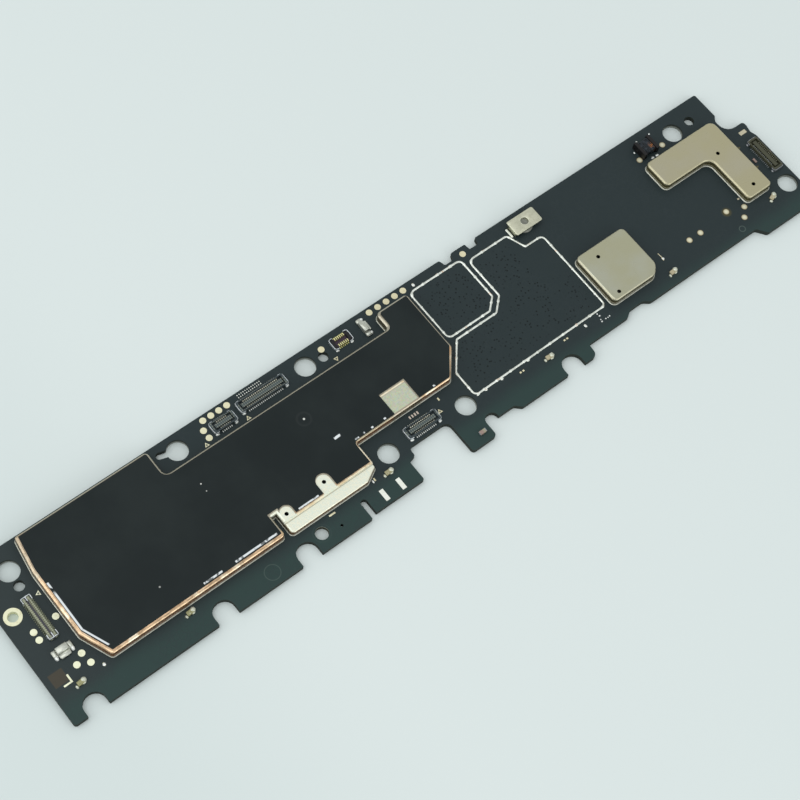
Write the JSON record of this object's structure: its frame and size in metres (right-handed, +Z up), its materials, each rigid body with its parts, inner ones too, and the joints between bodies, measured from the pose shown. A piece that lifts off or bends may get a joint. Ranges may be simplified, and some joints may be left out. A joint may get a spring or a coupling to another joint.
{
  "type": "tablet motherboard",
  "caption": "Long, narrow tablet motherboard with a film-covered main shield can, two bare shield cans, open solder rings, board-to-board connectors and screw holes.",
  "frame": {"origin": "bottom centre of the bounding box, on the board's underside", "axes": "+X along the board towards the end with the L-shaped can, +Y towards the long straight edge, +Z up out of the component side"},
  "size_m": [0.1572, 0.0308, 0.0027],
  "materials": {
    "solder_mask": "satin",
    "gold_pad": "satin",
    "main_can_sheet": "satin",
    "can_sheet": "satin",
    "copper": "satin",
    "graphite": "matte",
    "solder": "satin",
    "connector_plastic": "satin",
    "contact_gold": "polished",
    "tinned_sheet": "satin",
    "chip_ceramic": "satin",
    "tab_ceramic": "satin",
    "ferrite": "satin",
    "coil_wire": "gloss",
    "mould_compound": "matte",
    "thermal_pad": "matte",
    "crystal_lid": "satin"
  },
  "bodies": {
    "root": {"circuit_board": "solder_mask", "ground_eyelet": "gold_pad", "main_shield_can": "main_can_sheet", "copper_foil": "copper", "graphite_film": "graphite", "main_can_solder": "solder", "square_shield_can": "can_sheet", "square_can_solder": "solder", "long_shield_can": "can_sheet", "long_can_solder": "solder", "small_solder_ring": "solder", "large_solder_ring": "solder", "receptacle_40_housing": "connector_plastic", "receptacle_40_contacts": "contact_gold", "receptacle_40_holddowns": "tinned_sheet", "receptacle_24_housing": "connector_plastic", "receptacle_24_contacts": "contact_gold", "receptacle_24_holddowns": "tinned_sheet", "receptacle_12_housing": "connector_plastic", "receptacle_12_contacts": "contact_gold", "receptacle_12_holddowns": "tinned_sheet", "receptacle_28_housing": "connector_plastic", "receptacle_28_contacts": "contact_gold", "receptacle_28_holddowns": "tinned_sheet", "header_36_housing": "connector_plastic", "header_36_contacts": "contact_gold", "header_36_holddowns": "tinned_sheet", "header_12_housing": "connector_plastic", "header_12_contacts": "contact_gold", "header_12_holddowns": "tinned_sheet", "clip_nut": "tinned_sheet", "clip_nut_solder": "solder", "edge_ground_spring": "tinned_sheet", "top_ground_spring": "tinned_sheet", "contact_pads": "gold_pad", "marker_pads": "gold_pad", "tinned_bars": "solder", "capacitor_bodies": "chip_ceramic", "capacitor_ends": "solder", "tab_chip_body": "tab_ceramic", "tab_chip_ends": "solder", "inductor_core": "ferrite", "inductor_coil": "coil_wire", "inductor_terminals": "solder", "processor": "mould_compound", "memory_package": "mould_compound", "processor_thermal_pad": "thermal_pad", "storage_chip": "mould_compound", "power_chip": "mould_compound", "core_power_chip": "mould_compound", "power_inductors": "ferrite", "crystals": "crystal_lid", "radio_chip": "mould_compound", "charger_chip": "mould_compound", "audio_chip": "mould_compound", "inner_capacitors": "chip_ceramic"}
  },
  "joints": []
}
